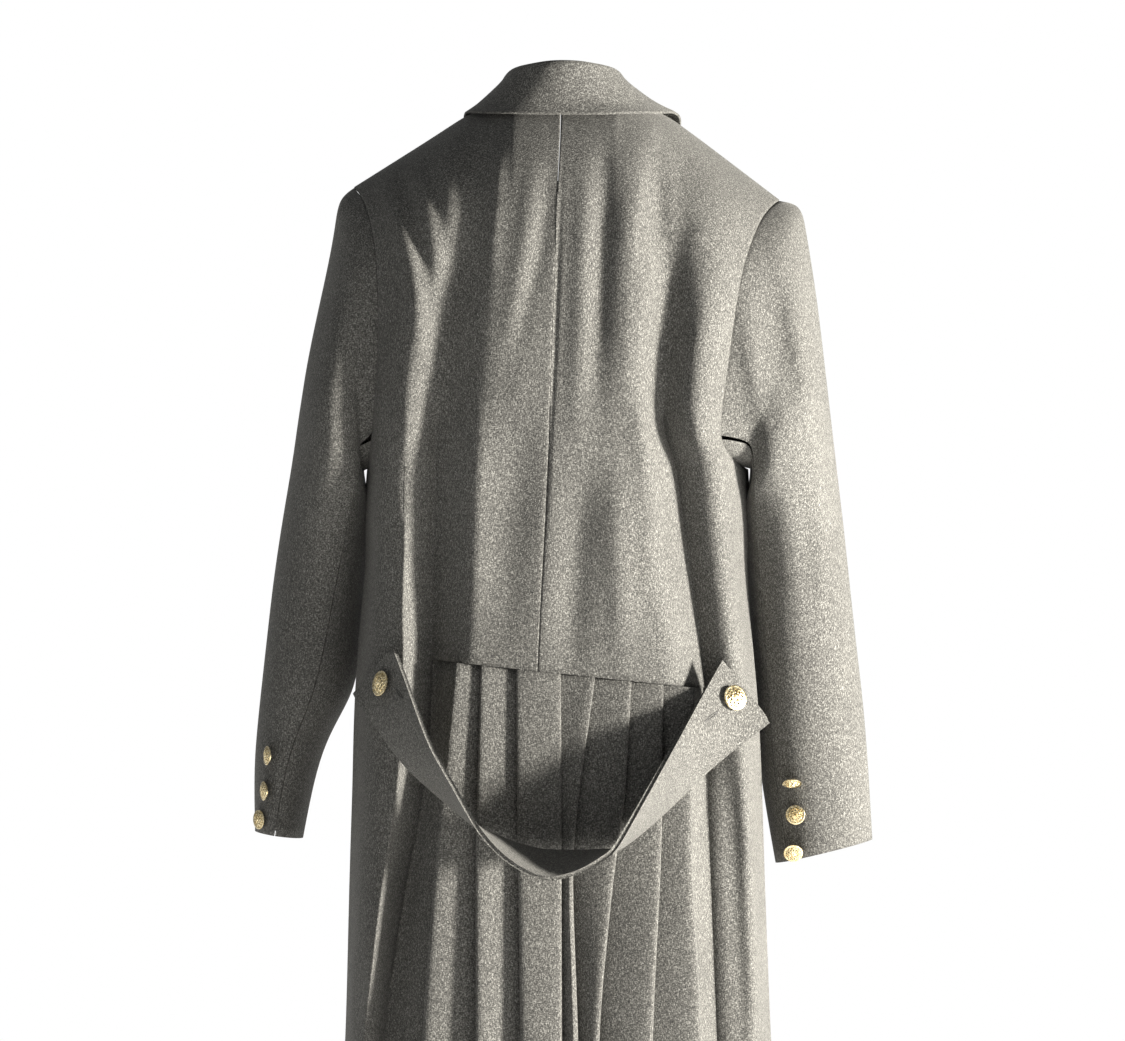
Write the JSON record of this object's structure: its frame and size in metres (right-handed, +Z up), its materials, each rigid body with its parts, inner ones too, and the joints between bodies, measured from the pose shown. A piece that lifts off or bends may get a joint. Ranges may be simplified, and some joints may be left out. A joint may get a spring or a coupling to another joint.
{
  "type": "frock coat",
  "caption": "Long wool frock coat, empty and filled out as worn, with a pleated back skirt, a slack back belt and domed brass shank buttons.",
  "frame": {"origin": "middle of the neck, where the wearer holds the coat up", "axes": "+Z up, -Y out of the coat's back, +X to the right as seen from behind"},
  "size_m": [0.597, 0.3704, 1.2303],
  "materials": {
    "wool": "dark grey-brown heathered wool with a short nap",
    "brass": "pale worn brass, domed, with a pierced lattice"
  },
  "bodies": {
    "root": {"back_belt": "wool", "back_left": "wool", "back_right": "wool", "back_skirt": "wool", "collar": "wool", "front_left": "wool", "front_right": "wool", "topsleeve_left": "wool", "topsleeve_right": "wool", "undersleeve_left": "wool", "undersleeve_right": "wool", "belt_button_left": "brass", "belt_button_right": "brass", "cuff_button_left_1": "brass", "cuff_button_left_2": "brass", "cuff_button_left_3": "brass", "cuff_button_right_1": "brass", "cuff_button_right_2": "brass", "cuff_button_right_3": "brass", "front_button_1": "brass", "front_button_2": "brass", "front_button_3": "brass", "front_button_4": "brass", "front_button_5": "brass"}
  },
  "joints": []
}
